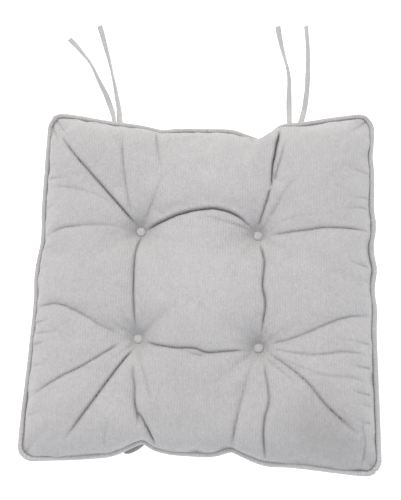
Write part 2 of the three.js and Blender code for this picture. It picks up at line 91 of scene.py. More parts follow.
# Where each tie leaves the back seam, its run from there (x and y from the outline, height above
# the floor), and how far it is turned on its edge at each point, in degrees. Millimetres.
TIES = {
    "tie_left_outer": (-111, [
        (0, -5.6, 17.6), (0, -1, 17.3), (-1.5, 4.5, 15), (-3.4, 10.5, 10.8), (-6, 17, 6.6),
        (-8.8, 23.5, 3.4), (-12, 31, 1.6), (-16.2, 40.5, 1.2), (-22.5, 52, 1.3), (-28.4, 63.5, 1.8),
        (-33.4, 74, 3.1), (-39.6, 84, 2.6), (-47.6, 94, 1.4), (-57, 104.6, 1.1), (-65.8, 113, 1.1),
    ], [60, 62, 60, 50, 35, 18, 4, 0, 0, 20, 80, 130, 150, 160, 165]),
    "tie_left_inner": (-104, [
        (0, -5.6, 17.6), (0, -1, 17.2), (-2, 5, 14.2), (-3.4, 11.5, 9.4), (-4.8, 18.5, 5),
        (-6.4, 26, 2.2), (-8.2, 34, 1.2), (-10.6, 44, 1.2), (-13, 54, 1.7), (-15.6, 64, 2.9),
        (-18.6, 75, 3.1), (-22.2, 87, 2.2), (-26.4, 100, 1.3), (-30.6, 114, 1.1), (-36, 131, 1.1),
    ], [0, 0, 0, 0, 0, 0, -8, -15, -30, -62, -95, -140, -165, -178, -180]),
    "tie_right_inner": (95, [
        (0, -5.6, 17.6), (0, -1, 17.3), (-0.6, 5, 15), (-1, 11.5, 10.6), (-1.4, 18.5, 6.4),
        (-1.8, 26, 3.2), (-2, 34, 1.6), (-2.2, 44, 1.2), (-2.4, 55, 1.5), (-3, 65, 2.2),
        (-4.8, 76, 3.1), (-7.6, 87, 2.5), (-11, 100, 1.3), (-14, 114, 1.1), (-17, 130, 1.1),
    ], [62, 60, 52, 40, 26, 12, 4, 0, 6, 30, 88, 150, 176, 180, 180]),
    "tie_right_outer": (106, [
        (0, -5.6, 17.6), (0, -1, 17.2), (1.8, 5, 14.4), (3.2, 11.5, 9.6), (4.6, 18.5, 5.2),
        (5.8, 26, 2.2), (6.8, 34, 1.2), (7.8, 44, 1.1), (8.4, 55, 1.1), (8.6, 66, 1.1),
        (8.5, 77, 1.3), (8.2, 89, 2), (7.6, 101, 2.8), (6.8, 113, 2.6), (5.7, 127, 2),
    ], [0, 0, 0, 0, 0, 0, 0, 2, 5, 8, 14, 30, 55, 58, 52]),
}

# ---- Creases of the top cover ----

# Each crease: its points in plan, then (at its start, at its end) the depth of the soft valley
# and of the sharp cut in its floor, the valley's width on its left and right, and how far the
# cloth on its left laps over it. Left is left of the way the points run. Millimetres.
CREASES = [
    ([(-66, 59), (-43.5, 68.5), (-21.5, 76.5), (0, 81), (14, 82), (28, 79.5), (42, 73), (57, 61)],
     (4.6, 4.6), (4.2, 4), 5.5, 8, 1),
    ([(2, 72), (14, 70), (26, 67), (42, 64), (56, 60)], (0.5, 1.5), (0.5, 1.4), 6, 7, 0.3),
    ([(-69.5, 54), (-73.6, 29), (-73, 0), (-72, -22), (-70, -53)], (5, 4.5), (3.2, 2.8), 9, 11, 0.3),
    ([(64, 46), (69.5, 24), (68.5, -2), (71.5, -23), (68, -58)], (5, 4.5), (2.8, 2.8), 10, 9, -0.3),
    ([(-60, -66), (-44, -69.5), (-22, -72.5), (-2, -72.5), (11, -76.5), (33, -74), (57, -72)],
     (4.2, 4.2), (2.6, 2.2), 9, 8, 0.4),
    ([(-14, -76), (-2, -79), (9, -80.5)], (0.4, 0.6), (0.8, 1.4), 5, 5, 0.4),
    ([(-75, 65), (-100.5, 92.2), (-129, 122.6), (-146, 141), (-162, 161), (-173, 177)],
     (5, 2.5), (4.2, 1.2), 7, 8, -0.5),
    ([(-184, 193), (-181, 181), (-178, 176), (-172, 166), (-167, 159)], (2, 1), (2.2, 0.5), 5, 5, 0.5),
    ([(-185, 188), (-181, 179), (-184, 165), (-186, 152)], (2, 1), (3.5, 0.5), 5, 4, 0.3),
    ([(-79, 72), (-86, 104), (-91, 135), (-95, 168)], (2.5, 1.2), (1, 1.6), 9, 9, -0.5),
    ([(-64, 72), (-54, 94), (-43, 122)], (2.5, 0), (1, 0.4), 10, 10, 0.3),
    ([(-80, 59), (-107, 62), (-136, 60), (-156, 58), (-180, 50)], (4, 3), (0.8, 1.8), 14, 13, 0.4),
    ([(-92, 82), (-120, 96), (-150, 104), (-180, 108)], (1.5, 1.2), (0.4, 0.8), 10, 10, -0.3),
    ([(62, 66), (67, 81), (72, 97), (75, 107)], (5, 3.5), (2.2, 3), 8, 7, 0.4),
    ([(75, 107), (75.4, 116), (76.5, 131), (80, 152), (83, 168), (84, 174)],
     (3, 4), (3, 6.4), 5, 5, 0.6),
    ([(79, 114), (83, 130), (87, 145), (91, 158)], (2.6, 0.8), (2.2, 0.8), 4, 7, 0.4),
    ([(75, 74), (84, 89), (93, 105), (104, 117)], (4, 0.8), (1.2, 0.6), 10, 11, -0.3),
    ([(45, 177), (50, 168), (56, 158)], (2, 0.5), (2.4, 0.6), 5, 5, 0.5),
    ([(76, 55), (109, 58.7), (130, 61.5), (157, 62.5), (186, 61)], (4.5, 3.2), (1.5, 1.9), 13, 13, 0.4),
    ([(84, 68), (106, 75), (136, 78)], (1.5, 0.2), (0.6, 0.2), 9, 9, 0.2),
    ([(75, -66), (107, -56.5), (145, -39.5), (160, -34.5), (189, -30.5)],
     (4.5, 3.2), (1, 1.5), 14, 13, 0.6),
    ([(76, -69), (120, -76), (155, -72), (186, -74)], (2, 1.6), (0.8, 1.4), 10, 10, 0.4),
    ([(76, -74), (130, -96), (162, -98), (186, -104)], (1.2, 1), (0.4, 0.9), 9, 9, 0.3),
    ([(75, -74), (98, -89), (120, -107), (137, -127), (156, -144), (170, -156)],
     (3.5, 4.5), (1.6, 1.6), 9, 10, 0.7),
    ([(75, -81), (92, -95), (109, -108)], (1.2, 0.3), (1.2, 0.4), 5, 5, -0.3),
    ([(71, -84), (78, -122), (75, -140), (73, -160), (76, -190)], (3, 3.5), (1.4, 3), 9, 10, -0.8),
    ([(62, -80), (50, -120), (38, -180)], (3, 5), (0.5, 2), 13, 11, 0.5),
    ([(176, -138), (177, -155), (179, -168), (178, -181), (175, -192)], (0.6, 1), (0.8, 1.6), 6, 5, 0.4),
    ([(-71, -73), (-93, -105), (-115, -137.5), (-139, -172)], (5, 3), (3.4, 2.2), 8, 9, -0.5),
    ([(-86, -69), (-92, -73), (-125, -95), (-148, -107), (-183, -129)], (3, 2), (2, 1.4), 10, 10, -0.5),
    ([(-69, -90), (-68, -105), (-66, -114), (-65, -128), (-63, -139), (-59.5, -153)],
     (5, 5), (1, 3.4), 9, 8, 0.6),
    ([(-62, -141), (-56, -148), (-52, -156), (-48, -163), (-43, -175)], (3, 5), (2.4, 4), 6, 7, 0.6),
    ([(-66, -74), (-59, -93), (-54, -106), (-50, -118), (-47, -130)], (2.5, 0.8), (0.8, 0.8), 8, 8, 0.3),
    ([(-84, -60), (-106, -51), (-130, -38), (-157, -28), (-187, -31)], (4, 3), (1, 2), 13, 13, 0.5),
    ([(-57, 172), (-52, 148), (-46, 122)], (3.5, 0.5), (1.6, 0.3), 9, 9, 0.3),
    ([(-92, -150), (-96, -166), (-98, -182)], (0.4, 1.2), (0.3, 1.2), 7, 7, 0.3),
    ([(-84, -8), (-120, -2), (-150, -6)], (1.2, 0.2), (0.3, 0.2), 12, 12, 0.2),
    ([(80, 4), (120, 8), (150, 2)], (1.2, 0.2), (0.3, 0.2), 12, 12, -0.2),
]

# Short pleats that run in from the side seams: side, place along it, length, rise, depth.
SIDE_PLEATS = [
    (1, 128, 26, 3, 1.0), (1, 100, 20, -4, 1.3), (1, 88, 34, -6, 1.2), (1, 22, 30, 6, 1.4),
    (1, 6, 16, 3, 0.8), (1, -10, 18, -2, 0.8), (1, -62, 40, 5, 1.0), (1, -88, 26, 4, 1.5),
    (1, -116, 24, 5, 1.6), (1, -128, 18, 4, 1.2), (1, -146, 22, 8, 1.2),
    (-1, 132, 18, 2, 0.9), (-1, 118, 34, -3, 1.2), (-1, 84, 22, 2, 0.8), (-1, 36, 26, 4, 1.0),
    (-1, 14, 18, 3, 0.8), (-1, -48, 22, 4, 1.5), (-1, -60, 40, 2, 1.2), (-1, -72, 18, 3, 1.4),
    (-1, -96, 22, 5, 1.0), (-1, -150, 20, 6, 0.8),
]
PLEAT_STARTS = (187, 182)  # how far out they start, at the front and at the back


def side_pleats():
    """The side pleats as creases."""
    for side, place, length, rise, depth in SIDE_PLEATS:
        edge = side * np.interp(place, (-200, 200), PLEAT_STARTS)
        points = [(edge, place), (edge - side * length / 2, place + rise / 3),
                  (edge - side * length, place + rise)]
        yield points, (1.1 * depth, 0), (1.3 * depth, 0.2), 6, 6, 0.3 * side


# ---- Camera ----

CAMERA_AZIMUTH = 30.26
CAMERA_ELEVATION = 78.0
CAMERA_ROLL = -28.75
CAMERA_DISTANCE = 1.0
CAMERA_TARGET = (-0.00356, 0.04069, 0.020)
SENSOR_HEIGHT = 36.0  # and the focal length, both in millimetres
FOCAL_LENGTH = 63.5148


def add_camera():
    """Looks at its target from an azimuth about +Z and an elevation, rolled on its own line."""
    data = bpy.data.cameras.new("camera")
    data.sensor_fit = "VERTICAL"
    data.sensor_height = SENSOR_HEIGHT
    data.lens = FOCAL_LENGTH
    camera = bpy.data.objects.new("camera", data)
    bpy.context.scene.collection.objects.link(camera)
    turn = Matrix()
    for angle, axis in ((CAMERA_AZIMUTH, "Z"), (90 - CAMERA_ELEVATION, "X"), (CAMERA_ROLL, "Z")):
        turn = turn @ Matrix.Rotation(math.radians(angle), 4, axis)
    back_off = Matrix.Translation((0, 0, CAMERA_DISTANCE))
    camera.matrix_world = Matrix.Translation(CAMERA_TARGET) @ turn @ back_off
    bpy.context.scene.camera = camera


# ---- Outline ----

MEAN_HALF_WIDTH = (FRONT_WIDTH + BACK_WIDTH) / 4
HALF_DEPTH = PAD_DEPTH / 2


def square_point(u):
    """The outline's place u on the unit square: clockwise from above, one per edge, back first."""
    edge = np.floor(u).astype(int) % 4
    along = 2 * (u - np.floor(u)) - 1
    one = np.ones_like(along)
    a = np.choose(edge, [along, one, -along, -one])
    b = np.choose(edge, [one, -along, -one, along])
    return a, b


def trapezoid(a, b):
    """A place on the square from -1 to 1, in metres on the tapering pad."""
    half_width = FRONT_WIDTH / 2 + (BACK_WIDTH - FRONT_WIDTH) / 2 * (b + 1) / 2
    return np.stack([a * half_width, b * HALF_DEPTH], axis=-1)


def outline(u, dents=EDGE_DENTS + CLOTH_SWELLS):
    """The outer edge of the piping in plan: a waisted trapezoid with round corners and dents."""
    u = np.asarray(u, dtype=float) % 4
    a, b = square_point(u)
    round_a = CORNER_RADIUS / MEAN_HALF_WIDTH
    round_b = CORNER_RADIUS / HALF_DEPTH
    into_a = np.maximum(np.abs(a) - 1 + round_a, 0) / round_a
    into_b = np.maximum(np.abs(b) - 1 + round_b, 0) / round_b
    corner = (into_a > 0) & (into_b > 0)
    angle = math.pi / 4 * np.where(into_a >= into_b, into_b, 2 - into_a)
    s = np.where(corner, np.sign(a) * (1 - round_a + round_a * np.cos(angle)), a)
    t = np.where(corner, np.sign(b) * (1 - round_b + round_b * np.sin(angle)), b)
    plan = trapezoid(s, t)
    waist_y = np.where(t > 0, BACK_WAIST, FRONT_WAIST) * np.maximum(1 - s * s, 0) ** 1.5
    waist_x = SIDE_WAIST * np.maximum(1 - t * t, 0) ** 1.5
    plan[..., 0] -= np.sign(s) * waist_x
    plan[..., 1] -= np.sign(t) * waist_y
    for axis, side, place, depth, low, high, tip in dents:
        along = plan[..., 1 - axis]
        edge_value = b if axis == 1 else a
        on_edge = (np.abs(edge_value) > 1 - 1e-9) & (np.sign(plan[..., axis]) == side)
        fade = np.where(along < place * MM, low, high) * MM
        amount = depth * MM * np.exp(-0.5 * (np.abs(along - place * MM) / fade) ** tip)
        plan[..., axis] -= side * np.where(on_edge, amount, 0)
    return plan


def inset_outline(u, inset):
    """The outline moved inward, square to its run."""
    step = 2e-3
    u = np.asarray(u, dtype=float)
    along = outline(u + step) - outline(u - step)
    along /= np.linalg.norm(along, axis=-1, keepdims=True)
    inward = np.stack([along[..., 1], -along[..., 0]], axis=-1)
    return outline(u) + inward * np.asarray(inset)[..., None]


def back_edge_at(x):
    """The point of the CAD outline's back edge where a tie leaves it."""
    points = outline(np.linspace(0.05, 0.95, 2000), EDGE_DENTS)
    return points[np.argmin(np.abs(points[:, 0] - x))]


# ---- Small tools ----

def smooth_path(points, count):
    """count points along a Catmull-Rom curve through points, evenly spaced."""
    p = np.asarray(points, dtype=float)
    ends = [2 * p[0] - p[1], *p, 2 * p[-1] - p[-2]]
    dense = []
    for p0, p1, p2, p3 in zip(ends, ends[1:], ends[2:], ends[3:]):
        t = np.linspace(0, 1, 24, endpoint=False)[:, None]
        dense.append(0.5 * (2 * p1 + (p2 - p0) * t + (2 * p0 - 5 * p1 + 4 * p2 - p3) * t ** 2
                            + (3 * p1 - p0 - 3 * p2 + p3) * t ** 3))
    dense = np.concatenate([*dense, p[-1:]])
    length = np.concatenate([[0], np.cumsum(np.linalg.norm(np.diff(dense, axis=0), axis=1))])
    at = np.linspace(0, length[-1], count)
    return np.stack([np.interp(at, length, dense[:, k]) for k in range(p.shape[1])], axis=1)


def lattice(ix, iy, seed):
    """A repeatable random number from 0 to 1 for each whole-number place."""
    value = np.sin(ix * 127.1 + iy * 311.7 + seed * 74.7) * 43758.5453
    return value - np.floor(value)


def soft_noise(x, y, cell, seed):
    """Smooth noise from -1 to 1 with lumps about one cell across."""
    gx, gy = x / cell, y / cell
    ix, iy = np.floor(gx), np.floor(gy)
    fx, fy = gx - ix, gy - iy
    fx, fy = fx * fx * (3 - 2 * fx), fy * fy * (3 - 2 * fy)
    low = lattice(ix, iy, seed) * (1 - fx) + lattice(ix + 1, iy, seed) * fx
    high = lattice(ix, iy + 1, seed) * (1 - fx) + lattice(ix + 1, iy + 1, seed) * fx
    return 2 * (low * (1 - fy) + high * fy) - 1


def mesh_object(name, points, faces):
    """A new smooth-shaded object. faces is a list."""
    mesh = bpy.data.meshes.new(name)
    mesh.from_pydata(np.asarray(points).tolist(), [], faces)
    mesh.validate()
    mesh.update()
    mesh.shade_smooth()
    piece = bpy.data.objects.new(name, mesh)
    bpy.context.scene.collection.objects.link(piece)
    return piece


def paint(piece, name, values):
    """A number for each point of the mesh, for its material to read."""
    layer = piece.data.attributes.new(name, "FLOAT", "POINT")
    layer.data.foreach_set("value", np.asarray(values, dtype=np.float32))


def tube(path, section, normals=(0, 0, 1), closed=False):
    """Points and faces of a section swept along a path. section: (k, 2) or (n, k, 2)."""
    n = len(path)
    tangent = np.gradient(path, axis=0)
    if closed:
        tangent = np.roll(path, -1, axis=0) - np.roll(path, 1, axis=0)
    tangent /= np.linalg.norm(tangent, axis=1, keepdims=True)
    side = np.cross(tangent, normals)
    side /= np.linalg.norm(side, axis=1, keepdims=True)
    up = np.cross(side, tangent)
    section = np.broadcast_to(section, (n, *np.shape(section)[-2:]))
    k = section.shape[1]
    points = (path[:, None] + side[:, None] * section[:, :, :1] + up[:, None] * section[:, :, 1:])
    rows = n if closed else n - 1
    i = np.arange(rows)[:, None] * k
    j = np.arange(k)[None]
    nxt = (j + 1) % k
    above = (i + k) % (n * k)
    faces = np.stack([i + j, i + nxt, above + nxt, above + j], axis=-1).reshape(-1, 4).tolist()
    if not closed:
        faces += [list(range(k))[::-1], list(range((n - 1) * k, n * k))]
    return points.reshape(-1, 3), faces


def finish_piece(piece, slot, material, *nodes):
    """Its material, its body, and the CAD nodes that it stands for."""
    piece.data.materials.append(material)
    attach(piece, BODY)
    if nodes:
        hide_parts(*nodes)


# ---- Materials ----

class Nodes:
    """Short names for building one material's node tree. Scales are per metre."""

    def __init__(self, name, roughness, specular=0.25, sheen=0.0):
        self.material = bpy.data.materials.new(name)
        self.material.use_nodes = True
        self.tree = self.material.node_tree
        self.shader = self.tree.nodes["Principled BSDF"]
        self.shader.inputs["Roughness"].default_value = roughness
        self.shader.inputs["Specular IOR Level"].default_value = specular
        self.shader.inputs["Sheen Weight"].default_value = sheen
        self.shader.inputs["Sheen Roughness"].default_value = 0.5

    def add(self, kind, links=None, **settings):
        node = self.tree.nodes.new(kind)
        for key, value in settings.items():
            setattr(node, key, value)
        for socket, source in (links or {}).items():
            if hasattr(source, "is_linked"):
                self.tree.links.new(source, node.inputs[socket])
            else:
                node.inputs[socket].default_value = source
        return node

    def math(self, operation, first, second=0.0, third=0.0):
        sources = {0: first, 1: second, 2: third}
        return self.add("ShaderNodeMath", sources, operation=operation).outputs[0]

    def place(self, stretch=(1, 1, 1)):
        coordinates = self.add("ShaderNodeTexCoord").outputs["Object"]
        return self.add("ShaderNodeMapping", {"Vector": coordinates, "Scale": stretch}).outputs[0]

    def noise(self, scale, detail=2.0, stretch=(1, 1, 1), roughness=0.5):
        return self.add("ShaderNodeTexNoise", {
            "Vector": self.place(stretch), "Scale": scale, "Detail": detail, "Roughness": roughness,
        }).outputs["Fac"]

    def attribute(self, name):
        return self.add("ShaderNodeAttribute", attribute_name=name).outputs["Fac"]

    def colour(self, base, shade):
        """The base colour times a shade from the node tree."""
        scaled = self.add("ShaderNodeVectorMath", {0: base, "Scale": shade}, operation="SCALE")
        self.tree.links.new(scaled.outputs[0], self.shader.inputs["Base Color"])

    def bump(self, layers):
        normal = None
        for height, distance in layers:
            links = {"Height": height, "Distance": distance, "Strength": 1.0}
            if normal is not None:
                links["Normal"] = normal
            normal = self.add("ShaderNodeBump", links).outputs["Normal"]
        self.tree.links.new(normal, self.shader.inputs["Normal"])


RIB_PERIOD = 2.88 * MM
RIB_WANDER = 2.5  # radians


def ribs(nodes, coordinate):
    """Fine cord ribs across a coordinate in metres: -1 in the groove, 1 on the rib."""
    wander = nodes.noise(60, 1.0)
    phase = nodes.math("MULTIPLY", coordinate, 2 * math.pi / RIB_PERIOD)
    return nodes.math("SINE", nodes.math("MULTIPLY_ADD", wander, RIB_WANDER, phase))


def ribbed_cloth(name, base, rib_attribute=None, takes_painted_shade=True, rib_shade=0.030, rib_depth=0.11):
    """Cloth with ribs across X or across a number on the mesh. Depths are in millimetres."""
    nodes = Nodes(name, roughness=0.92, specular=0.15, sheen=0.12)
    if rib_attribute:
        coordinate = nodes.attribute(rib_attribute)
    else:
        place = nodes.add("ShaderNodeTexCoord").outputs["Object"]
        coordinate = nodes.add("ShaderNodeSeparateXYZ", {0: place}).outputs["X"]
    wave = ribs(nodes, coordinate)
    broken = nodes.noise(500, stretch=(1, 0.85, 1), roughness=0.6)
    fuzz = nodes.noise(1400, 3.0, (1, 0.9, 1), 0.7)
    fleck = nodes.noise(200, stretch=(1, 0.85, 1), roughness=0.6)
    patch = nodes.noise(38, 3.0)
    shade = nodes.math("MULTIPLY_ADD", wave, rib_shade, 1.0)
    for source, strength in ((broken, 0.42), (fuzz, 0.28), (fleck, 0.17), (patch, 0.12)):
        centred = nodes.math("MULTIPLY", nodes.math("SUBTRACT", source, 0.5), strength)
        shade = nodes.math("ADD", shade, centred)
    if takes_painted_shade:
        # The painted shade on the mesh darkens the cloth, and painted light (below 0) lightens it.
        dark = nodes.math("SUBTRACT", 1.0, nodes.attribute("crease"))
        shade = nodes.math("MULTIPLY", shade, dark)
    nodes.colour(base, shade)
    nodes.bump([(wave, rib_depth * MM), (broken, 0.22 * MM), (fuzz, 0.12 * MM), (fleck, 0.3 * MM)])
    return nodes.material


def plain_material(name, base, roughness, scale, strength, depth, metallic=0.0):
    """A material with a fine grain: its scale, how strongly it shades, and its depth."""
    nodes = Nodes(name, roughness=roughness, specular=0.4)
    nodes.shader.inputs["Metallic"].default_value = metallic
    grain = nodes.noise(scale, 3.0)
    centred = nodes.math("MULTIPLY", nodes.math("SUBTRACT", grain, 0.5), strength)
    nodes.colour(base, nodes.math("ADD", centred, 1.0))
    nodes.bump([(grain, depth)])
    return nodes.material


COVER_COLOUR = (0.472, 0.459, 0.460)
BUTTON_COLOUR = (0.52, 0.51, 0.512)


# ---- Ties ----

TIE_THICKNESS = 1.3 * MM
TIE_STATIONS = 130
TIE_CURL = 0.5 * MM  # how far a tie's sides curl up or down
LOWEST_CLOTH = 0.15 * MM


def tie_section(steps=14):
    """A flat section with round edges."""
    angle = np.linspace(0, 2 * math.pi, steps, endpoint=False) + math.pi / steps
    x = np.sign(np.cos(angle)) * np.abs(np.cos(angle)) ** 0.45 * TIE_WIDTH / 2
    y = np.sign(np.sin(angle)) * np.abs(np.sin(angle)) ** 0.7 * TIE_THICKNESS / 2
    return x, y


def add_tie(name, exit_x, run, turns, material):
    """A tie that lies and twists as its points say. It bunches up where it stands on edge."""
    root = back_edge_at(exit_x * MM)
    path = smooth_path(np.array(run) * MM + [*root, 0], TIE_STATIONS)
    turn = smooth_path(np.stack([np.arange(len(turns)), turns], axis=1), TIE_STATIONS)[:, 1:]
    turn = np.radians(turn)
    along = np.linspace(0, 1, TIE_STATIONS)[:, None]
    flat_x, flat_y = tie_section()
    x = flat_x * (1.08 + 0.05 * soft_noise(along * 9, along * 0 + exit_x, 1.0, 3))
    y = flat_y * (1 + 1.5 * np.sin(turn) ** 2)
    y = y + TIE_CURL * (x / (TIE_WIDTH / 2)) ** 2 * np.sin(7 * along + exit_x)
    sections = np.stack([x * np.cos(turn) - y * np.sin(turn),
                         x * np.sin(turn) + y * np.cos(turn)], axis=-1)
    points, faces = tube(path, sections)
    points[:, 2] = np.maximum(points[:, 2], LOWEST_CLOTH)
    piece = mesh_object(name + "_cloth", points, faces)
    paint(piece, "strip", np.tile(flat_x, TIE_STATIONS))
    finish_piece(piece, "tie_cloth", material, name)


# ---- Covers ----

SIM_CELLS = 96  # cells along each side of the simulated cloth
TOP_CELLS = 288
BOTTOM_CELLS = 144
INNER_STEP = 4  # the inner face of each cover has one cell for this many outside
RIM_INSET = 2 * PIPING_RADIUS - 0.9 * MM
RIM_PULL = 7  # how quickly the grid leaves the outline's shape on its way in
FRONT_OVER = 1.2 * MM  # the covers come this much further out over the piping in front
FRONT_RISE = 0.05  # and gain it over this share of the front edge, which runs from 2 to 3
RIM_STEP = 0.6 * MM  # the covers meet this far above and below the middle of the seam
CLOTH_THICKNESS = 0.9 * MM


def seam_height(u):
    """The seam wanders a little up and down."""
    points = outline(u)
    return SEAM_HEIGHT + 1.2 * MM * soft_noise(points[..., 0], points[..., 1], 70 * MM, 5)


def grid_plan(cells):
    """A square grid fitted to the outline: plan, share (0 middle, 1 rim), edge, distance in."""
    line = np.linspace(-1, 1, cells + 1)
    b, a = np.meshgrid(line, line, indexing="ij")
    share = np.maximum(np.abs(a), np.abs(b))
    safe = np.where(share > 0, share, 1)
    ea, eb = a / safe, b / safe
    edge = np.select(
        [eb >= 1 - 1e-9, ea >= 1 - 1e-9, eb <= -1 + 1e-9],
        [(ea + 1) / 2, 1 + (1 - eb) / 2, 2 + (1 - ea) / 2],
        3 + (eb + 1) / 2)
    rise = np.clip((edge - 2.06) / FRONT_RISE, 0, 1) * np.clip((2.94 - edge) / FRONT_RISE, 0, 1)
    pull = inset_outline(edge, RIM_INSET - FRONT_OVER * rise) - trapezoid(ea, eb)
    plan = trapezoid(a, b) + pull * (share ** RIM_PULL)[..., None]
    side = (1 - np.abs(a)) * MEAN_HALF_WIDTH
    end = (1 - np.abs(b)) * HALF_DEPTH
    return plan, share, edge, side, end


def shoulder(side, end, reach, power, steepness):
    """Height share of a stuffed edge, from the distances in from its seams."""
    share = 1.0
    for distance in (side, end):
        share = share * (1 - (1 - np.minimum(distance / reach, 1)) ** power) ** steepness
    return share


CUT_WIDTH = 1.15 * MM
LAP_WIDTH = 5 * MM
VALLEY_REACH = 3  # a valley has faded out this many widths from its crease


def along_line(place, line):
    """From each place to a line of points: the way from its nearest point, the distance, the
    offset to its left and how far along it is, from 0 to 1."""
    start, step = line[:-1], np.diff(line, axis=0)
    along = np.clip(((place[:, None] - start) * step).sum(-1) / (step ** 2).sum(-1), 0, 1)
    gap = place[:, None] - (start + along[..., None] * step)
    nearest = (gap ** 2).sum(-1).argmin(1)
    rows = np.arange(len(place))
    gap, step = gap[rows, nearest], step[nearest]
    left = (step[:, 0] * gap[:, 1] - step[:, 1] * gap[:, 0]) / np.linalg.norm(step, axis=1)
    share = (nearest + along[rows, nearest]) / (len(line) - 1)
    return gap, np.linalg.norm(gap, axis=1), left, share


def crease_field(plan):
    """At each place: depth of the soft valleys, of the sharp cuts and of the laps, and the way
    to the nearest sharp crease with its depth there. Metres."""
    everywhere = plan.reshape(-1, 2)
    total = len(everywhere)
    valley, cut, lap, sharpness = (np.zeros(total) for _ in range(4))
    way = np.zeros((total, 2))
    closest = np.full(total, 1.0)
    for points, valleys, cuts, left, right, lip in [*CREASES, *side_pleats()]:
        line = smooth_path(np.array(points) * MM, 32)
        reach = VALLEY_REACH * max(left, right) * MM
        near = np.nonzero(((everywhere > line.min(0) - reach)
                           & (everywhere < line.max(0) + reach)).all(1))[0]
        gap, distance, offset, share = along_line(everywhere[near], line)
        x = distance / (np.where(offset > 0, left, right) * MM)
        ends = np.clip(share / 0.1 + 0.05, 0, 1) * np.clip((1 - share) / 0.2 + 0.1, 0, 1)
        broad = np.interp(share, (0, 1), valleys) * MM
        sharp = np.interp(share, (0, 1), cuts) * MM * ends
        dip = broad * np.exp(-x ** 1.15) * np.clip(1 - x / VALLEY_REACH, 0, 1)
        valley[near] = (valley[near] ** 3 + dip ** 3) ** (1 / 3)
        cut[near] = np.maximum(cut[near], sharp * np.exp(-(distance / CUT_WIDTH) ** 1.3))
        lap[near] += (np.tanh(offset / MM) * lip * MM * ends
                      * np.exp(-(distance / LAP_WIDTH) ** 1.4))
        nearer = distance < closest[near]
        closest[near[nearer]] = distance[nearer]
        way[near[nearer]] = gap[nearer]
        sharpness[near[nearer]] = sharp[nearer]
    fields = [field.reshape(plan.shape[:-1]) for field in (valley, cut, lap, sharpness)]
    return *fields, way.reshape(plan.shape)


def gather_to_creases(plan, share):
    """Moves the grid's points in plan towards the creases, and the nearest right onto them."""
    _, _, _, sharpness, way = crease_field(plan)
    distance = np.linalg.norm(way, axis=-1)
    half_cell = MEAN_HALF_WIDTH / (len(plan) - 1)
    pull = 0.62 * np.exp(-(distance / (3.4 * MM)) ** 2)
    pull = np.where(distance < 0.98 * half_cell, 1, pull)
    pull *= np.clip(sharpness / MM - 0.6, 0, 1) * np.clip((1 - share) / 0.02, 0, 1)
    return plan - way * pull[..., None]


def button_foot(tuft):
    """The middle of a button's foot, its diameter and its height."""
    low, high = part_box("button_cloth_" + tuft)
    middle = np.array([(low[0] + high[0]) / 2, (low[1] + high[1]) / 2, low[2]])
    return middle, high[0] - low[0], high[2] - low[2]


def tuft_centres():
    """Where the cloth lies under each button."""
    return np.array([button_foot(tuft)[0] - [0, 0, SEAT_GAP] for tuft in TUFTS])


BUTTON_SINK = 1.9 * MM  # how deep a button's rim is pressed into the cloth
BUTTON_FLAT = 5.1 * MM  # the cloth lies flat this far out under a button
HOLLOW_REACH = 13 * MM


def tuft_hollow(plan, depth, power):
    """How deep the cloth is drawn in round the buttons."""
    hollow = np.zeros(plan.shape[:-1])
    for x, y, _ in tuft_centres():
        r = np.hypot(plan[..., 0] - x, plan[..., 1] - y)
        out = np.maximum(r - BUTTON_FLAT, 0)
        hollow = np.maximum(hollow, depth / (1 + (out / HOLLOW_REACH) ** power))
    return hollow


FOLD_HEIGHT = 0.75 * MM
FOLD_PLACE = 22 * MM  # the folds are highest this far from their button


def radial_folds(plan):
    """Soft folds that run out from each button."""
    folds = np.zeros(plan.shape[:-1])
    for index, (x, y, _) in enumerate(tuft_centres()):
        dx, dy = plan[..., 0] - x, plan[..., 1] - y
        r = np.hypot(dx, dy)
        angle = np.arctan2(dy, dx)
        waves = sum(np.sin(count * angle + 2.3 * count + 1.7 * index) / count ** 0.5
                    for count in (5, 7, 9, 13))
        folds += FOLD_HEIGHT * waves * (r / FOLD_PLACE) * np.exp(1 - r / FOLD_PLACE)
    return folds


TOP_EDGE_REACH = 66 * MM
BOTTOM_EDGE_REACH = 42 * MM
COVER_GAP = 1 * MM  # the top cover starts this far below the CAD's crown, and swells


def top_seed(cells, gather=False):
    """The top cover before it is stuffed: its points, and the depth of its cuts."""
    plan, share, edge, side, end = grid_plan(cells)
    if gather:
        plan = gather_to_creases(plan, share)
    rim = seam_height(edge) + RIM_STEP
    body = shoulder(side, end, TOP_EDGE_REACH, 2.4, 0.68)
    valley, cut, lap, _, _ = crease_field(plan)
    crown = CROWN_HEIGHT - COVER_GAP
    depth = crown - tuft_centres()[0, 2] - BUTTON_SINK
    hollow = tuft_hollow(plan, depth, 1.2)
    near_button = np.clip(hollow / depth - 0.78, 0, 0.12) / 0.12
    dig = (valley ** 2.5 + hollow ** 2.5) ** (1 / 2.5)
    lumps = 0.9 * MM * soft_noise(plan[..., 0], plan[..., 1], 34 * MM, 11)
    fullness = body ** 0.6
    relief = lumps + (radial_folds(plan) + lap) * (1 - near_button)
    height = rim + (crown - rim) * body + (relief - dig) * fullness
    height -= cut * np.clip(body * 3, 0, 1) * (1 - near_button)
    return np.dstack([plan, np.where(share < 1, height, rim)]), share, cut


def bottom_seed(cells):
    """The bottom cover before it is stuffed."""
    plan, share, edge, side, end = grid_plan(cells)
    rim = seam_height(edge) - RIM_STEP
    body = shoulder(side, end, BOTTOM_EDGE_REACH, 2.2, 0.62)
    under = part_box("backing_button_" + TUFTS[0])[1][2] + SEAT_GAP
    hollow = tuft_hollow(plan, under, 2.2)
    floor = 0.3 * MM
    height = rim + (floor - rim) * np.minimum(1, 1.12 * body) + hollow * body
    return np.dstack([plan, np.maximum(height, floor)])


